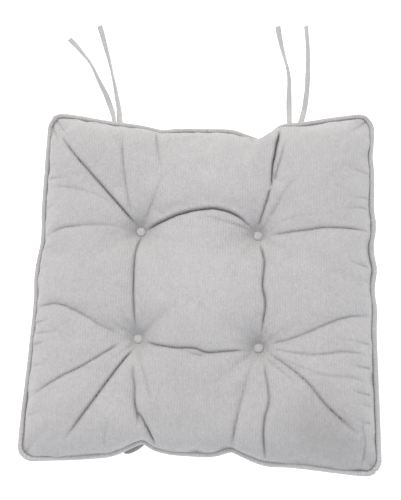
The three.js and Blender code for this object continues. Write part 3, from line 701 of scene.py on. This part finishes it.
def grid_faces(cells, flip=False):
    """The cells of a square grid as quads, as an array."""
    low = np.arange(cells)[:, None] * (cells + 1) + np.arange(cells)[None]
    quads = np.stack([low, low + 1, low + cells + 2, low + cells + 1], axis=-1).reshape(-1, 4)
    return quads[:, ::-1] if flip else quads


SIM_FRAMES = 20
SIM_LIMIT = 9 * MM  # no point of the cloth moves further
PINNED_BELOW = 2 * MM
BUTTON_SEAT = 6.5 * MM
CLOTH_SETTINGS = {
    "quality": 6, "mass": 0.2, "tension_stiffness": 14, "compression_stiffness": 8,
    "shear_stiffness": 4, "bending_stiffness": 0.4, "air_damping": 2,
    "vertex_group_mass": "pins", "pin_stiffness": 1.2, "use_pressure": True,
    "uniform_pressure_force": 4, "shrink_min": -0.025,
}


def inflate(points, faces, pins):
    """Lets the stuffed cover swell as cloth under pressure, and returns how its points move."""
    piece = mesh_object("cover_sim", points, faces.tolist())
    group = piece.vertex_groups.new(name="pins")
    for weight in np.unique(pins):
        if weight > 0:
            group.add(np.nonzero(pins == weight)[0].tolist(), float(weight), "REPLACE")
    cloth = piece.modifiers.new("cloth", "CLOTH")
    for setting, value in CLOTH_SETTINGS.items():
        setattr(cloth.settings, setting, value)
    cloth.settings.effector_weights.gravity = 0
    cloth.collision_settings.use_self_collision = False
    cloth.point_cache.frame_start = 1
    cloth.point_cache.frame_end = SIM_FRAMES
    for step in range(1, SIM_FRAMES + 1):
        bpy.context.scene.frame_set(step)
    settled = piece.evaluated_get(bpy.context.evaluated_depsgraph_get()).to_mesh()
    moved = np.empty(len(points) * 3)
    settled.vertices.foreach_get("co", moved)
    bpy.data.objects.remove(piece)
    bpy.context.scene.frame_set(1)
    shift = moved.reshape(-1, 3) - points
    length = np.maximum(np.linalg.norm(shift, axis=1, keepdims=True), 1e-9)
    return shift * SIM_LIMIT * np.tanh(length / SIM_LIMIT) / length


CALM = 0.62  # share of the finest wrinkles that is ironed out of the swelling
CALM_PASSES = 5


def ironed(grid):
    """The swelling with its finest wrinkles calmed. The rim stays."""
    smooth = grid.copy()
    for _ in range(CALM_PASSES):
        middle = smooth[1:-1, 1:-1]
        around = (smooth[:-2, 1:-1] + smooth[2:, 1:-1] + smooth[1:-1, :-2] + smooth[1:-1, 2:]) / 4
        smooth[1:-1, 1:-1] = (middle + around) / 2
    return grid + CALM * (smooth - grid)


def swell():
    """How the top and the bottom cover move as the pad is stuffed, on the coarse grid."""
    top, share, cut = top_seed(SIM_CELLS)
    bottom = bottom_seed(SIM_CELLS)
    rim = (share >= 1 - 1e-9).ravel()
    count = rim.size
    bottom_index = np.arange(count)
    bottom_index[~rim] = count + np.arange((~rim).sum())
    points = np.concatenate([top.reshape(-1, 3), bottom.reshape(-1, 3)[~rim]])
    shift = np.zeros_like(points)
    faces = np.concatenate([grid_faces(SIM_CELLS),
                            bottom_index[grid_faces(SIM_CELLS, flip=True)]])
    pins = np.zeros(len(points))
    near = np.min([np.hypot(points[:, 0] - x, points[:, 1] - y)
                   for x, y, _ in tuft_centres()], axis=0)
    pins[:count][cut.ravel() > 0.8 * MM] = 0.5
    pins[count:][points[count:, 2] < PINNED_BELOW] = 1
    pins[near < BUTTON_SEAT] = 1
    pins[:count][rim] = 1
    shift = inflate(points, faces, pins)
    shape = (SIM_CELLS + 1, SIM_CELLS + 1, 3)
    return ironed(shift[:count].reshape(shape)), ironed(shift[bottom_index].reshape(shape))


def finer(grid, cells):
    """The same square grid of values with more cells, by Catmull-Rom curves both ways."""
    coarse = grid.shape[0] - 1
    at = np.linspace(0, coarse, cells + 1)
    low = np.clip(np.floor(at).astype(int), 0, coarse - 1)
    t = at - low
    weights = [-0.5 * t + t ** 2 - 0.5 * t ** 3, 1 - 2.5 * t ** 2 + 1.5 * t ** 3,
               0.5 * t + 2 * t ** 2 - 1.5 * t ** 3, -0.5 * t ** 2 + 0.5 * t ** 3]
    spread = np.zeros((cells + 1, coarse + 1))
    for offset, weight in zip((-1, 0, 1, 2), weights):
        np.add.at(spread, (np.arange(cells + 1), np.clip(low + offset, 0, coarse)), weight)
    return np.einsum("ai,bj,ijk->abk", spread, spread, grid, optimize=True)


def grid_normals(grid, upward):
    normal = np.cross(np.gradient(grid, axis=1), np.gradient(grid, axis=0))
    normal /= np.linalg.norm(normal, axis=-1, keepdims=True)
    return normal * (np.sign(normal[..., 2:].mean()) * (1 if upward else -1))


def lowest_nearby(height, reach):
    """The lowest value within reach cells of each place."""
    padded = np.pad(height, reach, mode="edge")
    rows, columns = height.shape
    offsets = range(2 * reach + 1)
    across = np.min([padded[:, j:j + columns] for j in offsets], axis=0)
    return np.min([across[i:i + rows] for i in offsets], axis=0)


def inner_face(outer, upward):
    """The inside of a cover, coarser than its outside and clear of every crease in it."""
    sign = 1 if upward else -1
    inner = outer - grid_normals(outer, upward) * CLOTH_THICKNESS
    deepest = sign * lowest_nearby(sign * outer[..., 2], INNER_STEP) - sign * 0.3 * MM
    inner[..., 2] = sign * np.minimum(sign * inner[..., 2], sign * deepest)
    return inner[::INNER_STEP, ::INNER_STEP]


def border(cells, offset):
    """The indices round the edge of a grid, anticlockwise seen from above."""
    row = np.arange(cells)
    last = (cells + 1) ** 2 - 1
    loop = [row, row * (cells + 1) + cells, last - row, (cells - row) * (cells + 1)]
    return np.concatenate(loop) + offset


def folded_faces(grid, flip):
    """Triangles of a grid, with each cell split along its lower diagonal, as a crease runs."""
    quads = grid_faces(grid.shape[0] - 1, flip)
    height = grid.reshape(-1, 3)[:, 2][quads]
    first = height[:, 0] + height[:, 2] <= height[:, 1] + height[:, 3]
    quads = np.where(first[:, None], quads, np.roll(quads, -1, axis=1))
    return np.concatenate([quads[:, [0, 1, 2]], quads[:, [0, 2, 3]]])


def shell(name, outer, inner, upward):
    """A cloth of real thickness: a fine outer grid and a coarser inner one, joined at the rim."""
    cells, inner_cells = outer.shape[0] - 1, inner.shape[0] - 1
    count = outer.shape[0] ** 2
    faces = folded_faces(outer, flip=not upward).tolist()
    faces += (grid_faces(inner_cells, flip=upward) + count).tolist()
    step = cells // inner_cells
    edge, inner_edge = border(cells, 0).tolist(), border(inner_cells, count).tolist()
    for k, here in enumerate(inner_edge):
        beyond = inner_edge[(k + 1) % len(inner_edge)]
        run = [edge[(k * step + i) % len(edge)] for i in range(step + 1)]
        face = run[::-1] + [here, beyond]
        faces.append(face if upward else face[::-1])
    points = np.concatenate([outer.reshape(-1, 3), inner.reshape(-1, 3)])
    return mesh_object(name, points, faces)


def pucker(plan, edge, side, end):
    """Small gathers that run in from the seam."""
    distance = np.minimum(side, end)
    run = outline(edge)
    fine = soft_noise(run[..., 0], run[..., 1], 5.5 * MM, 21)
    broad = soft_noise(run[..., 0], run[..., 1], 15 * MM, 22)
    strength = 0.55 + 0.45 * soft_noise(run[..., 0], run[..., 1], 60 * MM, 23)
    lift = strength * (0.5 * MM * fine * np.exp(-distance / (6 * MM))
                       + 1.0 * MM * broad * np.exp(-distance / (18 * MM)))
    return lift * np.clip(distance / (1.5 * MM), 0, 1)


def overhang(edge, side, end):
    """The cover leans out over its piping in places, and is drawn in from it in others."""
    distance = np.minimum(side, end)
    run = outline(edge)
    lean = (1.2 * soft_noise(run[..., 0], run[..., 1], 11 * MM, 41)
            + 1.4 * soft_noise(run[..., 0], run[..., 1], 30 * MM, 42)) * MM
    lean *= np.exp(-((distance - 3 * MM) / (3 * MM)) ** 2) * np.clip(distance / MM, 0, 1)
    out = run - inset_outline(edge, MM)
    out /= np.linalg.norm(out, axis=-1, keepdims=True)
    return np.dstack([out * lean[..., None], 0 * distance])


# Patches of painted shade, and of painted light where the amount is below 0: centre, reach both
# ways and how much darker. Millimetres.
PAINTED_SHADE_PATCHES = [(128, -150, 36, 34, 0.17), (165, -175, 28, 28, 0.10), (60, -186, 60, 16, 0.06),
               (-140, 140, 50, 40, 0.03), (0, -105, 60, 26, 0.045), (-110, -176, 60, 18, 0.015),
               (-2, 6, 62, 58, -0.06), (10, 118, 80, 34, -0.05), (-30, 160, 60, 14, 0.03),
               (140, 110, 40, 60, 0.01), (-115, -110, 60, 60, -0.02)]


def painted_patch_shade(plan):
    """How much painted shade the cloth has at each place; below 0 it is painted light."""
    dark = np.zeros(plan.shape[:-1])
    for x, y, reach_x, reach_y, amount in PAINTED_SHADE_PATCHES:
        far = (((plan[..., 0] - x * MM) / (reach_x * MM)) ** 2
               + ((plan[..., 1] - y * MM) / (reach_y * MM)) ** 2)
        dark += amount * np.exp(-far)
    return dark


# Painted shade: in the floor of the sharp cuts, in the crevice along the seam, and over a band just
# behind the front seam.
CREASE_SHADE = 0.56
DEEP_CUT = 3.6 * MM  # cuts this deep have the whole of that shade
SEAM_SHADE = 0.34
FRONT_SEAM_SHADE = 0.08


def near_edge(out):
    """1 close to the pad's edges, 0 further in, from the distance out from its middle."""
    return np.clip((out - 150 * MM) / (25 * MM), 0, 1)


def toward_front(y):
    """1 plus up to 0.6 more towards the front, where the painted seam shade is strongest."""
    return 1 + 0.6 * np.clip((-y - 40 * MM) / (90 * MM), 0, 1)


def cover_shade(outer, cut, distance):
    """Painted shade of the creases and the seam, with the patches of painted shade and light. The
    painted seam shade is faint along the middle of the front.
    """
    front = near_edge(-outer[..., 1]) * (1 - near_edge(np.abs(outer[..., 0])))
    at_seam = SEAM_SHADE * (1 - front) * np.exp(-(distance / (1.1 * MM)) ** 1.5)
    at_seam *= toward_front(outer[..., 1])
    at_seam += FRONT_SEAM_SHADE * front * np.exp(-(distance / (7 * MM)) ** 2)
    shade = np.maximum(CREASE_SHADE * np.clip(cut / DEEP_CUT, 0, 1), at_seam)
    return 1 - (1 - shade) * (1 - painted_patch_shade(outer))


def add_top_cover(shift, material):
    seed, _, cut = top_seed(TOP_CELLS, gather=True)
    outer = seed + finer(shift, TOP_CELLS)
    _, _, edge, side, end = grid_plan(TOP_CELLS)
    outer += grid_normals(outer, True) * pucker(outer, edge, side, end)[..., None]
    outer += overhang(edge, side, end)
    inner = inner_face(outer, True)
    piece = shell("top_cover_cloth", outer, inner, upward=True)
    # The cover's painted shade and light, as the share its material darkens the cloth by.
    shade = cover_shade(outer, cut, np.minimum(side, end))
    paint(piece, "crease", np.concatenate([shade.ravel(), np.zeros(inner[..., 0].size)]))
    finish_piece(piece, "cover_cloth", material, "top_cover")
    return outer


def add_bottom_cover(shift, material):
    outer = bottom_seed(BOTTOM_CELLS) + finer(shift, BOTTOM_CELLS)
    inner = inner_face(outer, False)
    piece = shell("bottom_cover_cloth", outer, inner, upward=False)
    paint(piece, "crease", np.zeros(outer[..., 0].size + inner[..., 0].size))
    finish_piece(piece, "underside_cloth", material, "bottom_cover")
    return outer


FILLING_CELLS = 48
FILLING_CLEARANCE = 3 * MM
FILLING_SHRINK = 0.96  # keeps the coarse mass inside the covers where the back edge is dented
FILLING_EDGE = 0.3 * MM  # half its least thickness


def thinned(grid):
    """The points of a cover's grid that the filling has, without the two outermost rows."""
    step = (len(grid) - 1) // FILLING_CELLS
    return grid[::step, ::step][2:-2, 2:-2]


def filling_face(cover, sign):
    """One side of the fibre, clear of every crease in its cover. sign: 1 for the upper side."""
    reach = (len(cover) - 1) // FILLING_CELLS + 1
    deepest = sign * lowest_nearby(sign * cover[..., 2], reach)
    face = thinned(cover) * [FILLING_SHRINK, FILLING_SHRINK, 1]
    face[..., 2] = thinned(deepest) - sign * FILLING_CLEARANCE
    return face


def add_filling(top, bottom, material):
    """The fibre, a closed mass just inside the two covers."""
    high, low = filling_face(top, 1), filling_face(bottom, -1)
    middle = (thinned(top) + thinned(bottom))[..., 2] / 2
    high[..., 2] = np.maximum(high[..., 2], middle + FILLING_EDGE)
    low[..., 2] = np.minimum(low[..., 2], middle - FILLING_EDGE)
    piece = shell("fibre_mass", high, low, upward=True)
    finish_piece(piece, "fibre", material, "fibre_filling")


# ---- Piping ----

def piping_frames(count):
    """Even stations along the piping's middle line: the length so far, and the points."""
    us = np.linspace(0.5, 4.5, 4001)[:-1]
    centre = inset_outline(us, PIPING_RADIUS)
    gap = np.linalg.norm(np.diff(np.vstack([centre, centre[:1]]), axis=0), axis=1)
    length = np.concatenate([[0], np.cumsum(gap)])
    at = np.linspace(0, length[-1], count, endpoint=False)
    u = np.interp(at, length, np.append(us, 4.5))
    plan = inset_outline(u, PIPING_RADIUS)
    return at, np.column_stack([plan, seam_height(u)])


def corner_closeness(path):
    """1 at the corners of the pad, 0 along its edges."""
    along = np.maximum(MEAN_HALF_WIDTH - np.abs(path[:, 0]), HALF_DEPTH - np.abs(path[:, 1]))
    return np.clip(1.15 - along / (34 * MM), 0, 1)


STITCH_PITCH = 4 * MM
THREAD_RADIUS = 0.28 * MM


def stitch_rhythm(at):
    """1 between two stitches of the seam, 0 at the hole where the thread pulls it in."""
    slip = 1.6 * soft_noise(at, at * 0, 11 * MM, 35)
    return 0.5 - 0.5 * np.cos(2 * math.pi * at / STITCH_PITCH + slip)


def seam_painted_shade(at, path):
    """Painted shade of the crevice beside the piping: strong at the back and the sides, and faint in
    front.
    """
    front = near_edge(-path[:, 1]) * (1 - corner_closeness(path))
    patchy = 0.72 + 0.28 * soft_noise(at, at * 0, 26 * MM, 34)
    edge = (1 - 1.2 * front) * patchy * toward_front(path[:, 1])
    return np.minimum(1.3, edge * (0.2 + 0.8 * stitch_rhythm(at)))


def round_section(sides):
    angle = np.linspace(0, 2 * math.pi, sides, endpoint=False)
    return angle, np.stack([np.cos(angle), np.sin(angle)], axis=1)


PIPING_STATIONS = 2200
PIPING_SIDES = 16
GATHER_PITCH = 2.6 * MM


def add_piping(material):
    """The piping's sleeve, drawn in by each stitch and gathered round the corners."""
    at, path = piping_frames(PIPING_STATIONS)
    corner = corner_closeness(path)
    pull = (1 - stitch_rhythm(at)) ** 4
    gather = np.maximum(0, np.sin(at / GATHER_PITCH * 2 * math.pi
                                  + 2 * soft_noise(at, at * 0, 9 * MM, 31))) ** 4
    wobble = (soft_noise(at, at * 0, 12 * MM, 32) * 0.04
              + soft_noise(at, at * 0, 3.5 * MM, 33) * 0.025)
    radius = PIPING_RADIUS * (0.99 + wobble - 0.10 * gather * corner)
    angle, circle = round_section(PIPING_SIDES)
    inner = np.clip(np.cos(angle - 0.5), 0, 1) ** 3
    section = circle * (radius[:, None] * (1 - 0.10 * pull[:, None] * inner))[..., None]
    points, faces = tube(path, section, closed=True)
    piece = mesh_object("piping_strip", points, faces)
    paint(piece, "strip", np.repeat(at, PIPING_SIDES))
    # Painted shade in the crevice, on the side of the piping that faces the cover, broken at each
    # stitch.
    crevice = np.clip(np.cos(angle - 0.15), 0, 1) ** 6
    shade = 0.72 * seam_painted_shade(at, path)[:, None] * crevice
    # Painted shade in the gathers at the corners.
    shade = np.maximum(shade, 0.34 * (gather * corner)[:, None])
    # Painted light on the piping along the front.
    shade -= 0.14 * near_edge(-path[:, 1])[:, None]
    paint(piece, "crease", shade.ravel())
    finish_piece(piece, "piping_cloth", material, "piping_sleeve")


FOLD_RUN = [(-81, -186.5), (-73, -184), (-64, -178.5), (-57, -171), (-52, -164)]  # millimetres


def add_piping_fold(material):
    """Where the front edge is drawn in, some of its piping is folded under the left lobe."""
    count, sides = 60, 14
    height = SEAM_HEIGHT - 2.1 * PIPING_RADIUS
    plan = np.array(FOLD_RUN) * MM
    path = smooth_path(np.column_stack([plan, np.full(len(plan), height)]), count)
    _, circle = round_section(sides)
    share = np.linspace(0, 1, count)
    radius = PIPING_RADIUS * np.sqrt(np.clip(1 - (2 * share - 1) ** 6, 0.02, 1))
    points, faces = tube(path, circle * radius[:, None, None])
    piece = mesh_object("piping_fold", points, faces)
    paint(piece, "strip", np.repeat(share * 40 * MM, sides))
    # Painted shade all over the fold, which lies under the left lobe.
    paint(piece, "crease", np.full(count * sides, 0.36))
    finish_piece(piece, "piping_cloth", material)


STITCH_RISE = 1.35 * MM  # the stitches lie this far above the piping's middle line
STITCH_DROP = 1.6 * MM  # and this much lower along the front
STITCH_ENDS = 0.5 * MM  # a stitch's ends dip this far into the cloth


def add_stitches(material):
    """The thread of the seam: one small stitch in the crevice for each pitch. Its dark grey is painted
    shade of the crevice.
    """
    half_round = piping_frames(2)[0][1]
    total = int(half_round * 2 / STITCH_PITCH)
    _, seam = piping_frames(total * 4)
    inward = np.cross(np.roll(seam, -1, axis=0) - np.roll(seam, 1, axis=0), [0, 0, 1.0])
    inward /= np.linalg.norm(inward, axis=1, keepdims=True)
    front = near_edge(-seam[:, 1]) * (1 - corner_closeness(seam))
    seam = seam + inward * (PIPING_RADIUS + 0.1 * MM)
    seam[:, 2] += STITCH_RISE - STITCH_DROP * front
    _, circle = round_section(6)
    points, faces = [], []
    for first in range(0, total * 4, 4):
        run = seam[[first, first, first + 1, first + 2, first + 2]]
        run[[0, -1], 2] -= STITCH_ENDS
        stitch, sides = tube(run, circle * THREAD_RADIUS, inward[first] * 0.2 + [0, 0, 1])
        base = len(points) * len(stitch)
        points.append(stitch)
        faces += [[base + index for index in face] for face in sides]
    piece = mesh_object("seam_stitches", np.concatenate(points), faces)
    finish_piece(piece, "piping_cloth", material)


CORE_RADIUS = 1.7 * MM


def add_piping_core(material):
    _, path = piping_frames(500)
    _, circle = round_section(8)
    points, faces = tube(path, circle * CORE_RADIUS, closed=True)
    piece = mesh_object("piping_core", points, faces)
    finish_piece(piece, "filler_cord", material, "piping_cord")


# ---- Buttons ----

# A button's profile from its top: radius and height, as shares of its own.
BUTTON_PROFILE = [(0.0, 1.0), (0.35, 0.995), (0.62, 0.97), (0.8, 0.9), (0.92, 0.76), (0.985, 0.55),
                  (1.0, 0.3), (0.97, 0.08), (0.88, 0.0), (0.7, 0.02)]
BUTTON_SIDES = 64
BUTTON_PLEATS = 11


def add_button(tuft, index, material):
    centre, diameter, height = button_foot(tuft)
    angle = np.arange(BUTTON_SIDES) * 2 * math.pi / BUTTON_SIDES
    rings = [[(0, 0, height)]]
    for r, h in BUTTON_PROFILE[1:]:
        pleats = 0.025 * np.sin(BUTTON_PLEATS * angle + index) * max(0.0, 1.2 * r - 0.5)
        reach = diameter / 2 * r * (1 + pleats)
        rings.append(np.column_stack([reach * np.cos(angle), reach * np.sin(angle),
                                      np.full(BUTTON_SIDES, height * h)]))
    here = np.arange(BUTTON_SIDES)
    after = (here + 1) % BUTTON_SIDES
    faces = np.column_stack([here * 0, 1 + here, 1 + after]).tolist()
    last = 1 + (len(BUTTON_PROFILE) - 2) * BUTTON_SIDES
    for ring in range(1, last, BUTTON_SIDES):
        below = ring + BUTTON_SIDES
        faces += np.column_stack([ring + here, below + here, below + after, ring + after]).tolist()
    faces.append((last + here)[::-1].tolist())
    points = np.concatenate(rings) + centre
    piece = mesh_object("button_cap_" + tuft, points, faces)
    paint(piece, "crease", np.zeros(len(points)))
    finish_piece(piece, "button_cloth", material, "button_cloth_" + tuft)


# ---- CAD pieces that stay ----

def dress_cad_nodes(materials):
    """Gives the hard CAD nodes that stay their materials, by the start of their names."""
    for tuft in TUFTS:
        for prefix, material in materials.items():
            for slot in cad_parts[prefix + tuft].material_slots:
                slot.material = material


# ---- Studio ----

def add_area(name, place, target, size, power, colour):
    """A round soft light. Metres and watts."""
    data = bpy.data.lights.new(name, "AREA")
    data.shape = "DISK"
    data.size = size
    data.energy = power
    data.color = colour
    light = bpy.data.objects.new(name, data)
    light.location = place
    light.rotation_euler = (Vector(target) - Vector(place)).to_track_quat("-Z", "Y").to_euler()
    bpy.context.scene.collection.objects.link(light)


FLOOR_REACH = 12.0
FLOOR_COLOUR = (0.93, 0.93, 0.93)
FLOOR_GLOW = 0.6  # a white table lit from below, so that the pad throws next to no shadow
SKY_COLOUR = (0.93, 0.96, 1.0, 1)
SKY_STRENGTH = 0.94


def add_studio():
    reach = FLOOR_REACH
    corners = [(-reach, -reach, 0), (reach, -reach, 0), (reach, reach, 0), (-reach, reach, 0)]
    floor = mesh_object("floor", corners, [(0, 1, 2, 3)])
    nodes = Nodes("floor_paint", roughness=0.9, specular=0.0)
    grain = nodes.math("MULTIPLY", nodes.noise(3.0), 0.004)
    nodes.colour(FLOOR_COLOUR, nodes.math("ADD", grain, 0.998))
    nodes.shader.inputs["Emission Color"].default_value = (1, 1, 1, 1)
    nodes.shader.inputs["Emission Strength"].default_value = FLOOR_GLOW
    floor.data.materials.append(nodes.material)
    world = bpy.data.worlds.new("studio")
    world.use_nodes = True
    background = world.node_tree.nodes["Background"]
    background.inputs["Color"].default_value = SKY_COLOUR
    background.inputs["Strength"].default_value = SKY_STRENGTH
    bpy.context.scene.world = world
    add_area("key", (-0.35, 1.3, 1.9), (0, 0, 0), 1.1, 21, (1.0, 0.92, 0.83))
    view = bpy.context.scene.view_settings
    view.view_transform = "Standard"
    view.look = "None"
    view.exposure = 0.0
    view.gamma = 1.0


# ---- Build ----

add_camera()

tie_material = ribbed_cloth("tie_weave", COVER_COLOUR, "strip", takes_painted_shade=False, rib_shade=0.02)
for tie_name, (exit_x, run, turns) in TIES.items():
    add_tie(tie_name, exit_x, run, turns, tie_material)

cover_material = ribbed_cloth("cover_weave", COVER_COLOUR)
under_material = ribbed_cloth("underside_weave", COVER_COLOUR)
piping_material = ribbed_cloth("piping_weave", COVER_COLOUR, "strip", rib_depth=0.12)
button_material = ribbed_cloth("button_weave", BUTTON_COLOUR)
fibre_material = plain_material("fibre", (0.85, 0.84, 0.82), 0.95, 300, 0.1, 1.0 * MM)
# The stitches' dark grey is painted shade of the seam's crevice.
dark_thread_painted_shade = plain_material("thread", (0.34, 0.34, 0.345), 0.7, 2500, 0.3, 0.1 * MM)
cord_material = plain_material("filler_cord", (0.8, 0.79, 0.74), 0.9, 900, 0.15, 0.3 * MM)

top_shift, bottom_shift = swell()
top_surface = add_top_cover(top_shift, cover_material)
bottom_surface = add_bottom_cover(bottom_shift, under_material)
add_filling(top_surface, bottom_surface, fibre_material)
add_piping(piping_material)
add_piping_fold(piping_material)
add_piping_core(cord_material)
add_stitches(dark_thread_painted_shade)
for number, tuft_name in enumerate(TUFTS):
    add_button(tuft_name, number, button_material)

pressed = plain_material("pressed_metal", (0.68, 0.68, 0.7), 0.35, 500, 0.05, 0.02 * MM, 1.0)
plate = plain_material("plate_metal", (0.66, 0.66, 0.68), 0.4, 700, 0.05, 0.02 * MM, 1.0)
twine = plain_material("waxed_twine", (0.72, 0.71, 0.68), 0.7, 2500, 0.25, 0.2 * MM)
plastic = plain_material("backing_plastic", (0.74, 0.74, 0.73), 0.42, 800, 0.04, 0.03 * MM)
dress_cad_nodes({"button_shell_": pressed, "button_eye_plate_": plate,
                 "tuft_twine_": twine, "backing_button_": plastic})

add_studio()
